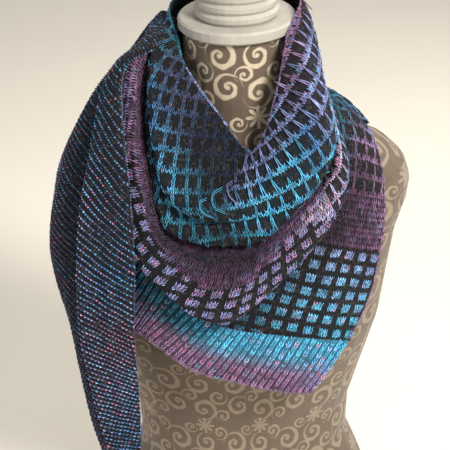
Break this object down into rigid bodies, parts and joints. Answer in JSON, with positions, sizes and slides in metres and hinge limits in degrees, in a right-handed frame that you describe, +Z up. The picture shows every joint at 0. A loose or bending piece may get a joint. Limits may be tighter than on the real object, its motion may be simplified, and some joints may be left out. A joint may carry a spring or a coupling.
{
  "type": "shawl on a dress form",
  "caption": "Knitted shawl wound as a cowl with a ribbed border and a hanging striped tail, on a limbless countertop dress form.",
  "frame": {"origin": "middle of the dress form's flat underside", "axes": "+Z up along the neck, the wearer's front faces -Y, +X is the viewer's right"},
  "size_m": [0.365, 0.262, 0.6428],
  "materials": {
    "form_cover": "matt printed cloth, taupe with cream scrolls",
    "neck_paint": "turned wood, pale grey satin paint",
    "lattice_wool": "soft wool, blue net over black",
    "squares_wool": "soft wool, purple plain knit and blue squares on black",
    "panel_wool": "soft wool, purple plain knit over rows of blue squares",
    "ribbed_wool": "soft wool ribbing, blue shading to pink",
    "back_wool": "soft wool, blue and purple on black",
    "striped_wool": "soft wool garter stitch, black with blue and pink rows"
  },
  "bodies": {
    "root": {"form_torso": "form_cover", "neck_plate": "neck_paint", "neck_drum": "neck_paint", "front_cowl": "lattice_wool", "front_fold": "squares_wool", "front_panel": "panel_wool", "ribbed_border": "ribbed_wool", "back_drape": "back_wool", "tail": "striped_wool"}
  },
  "joints": []
}
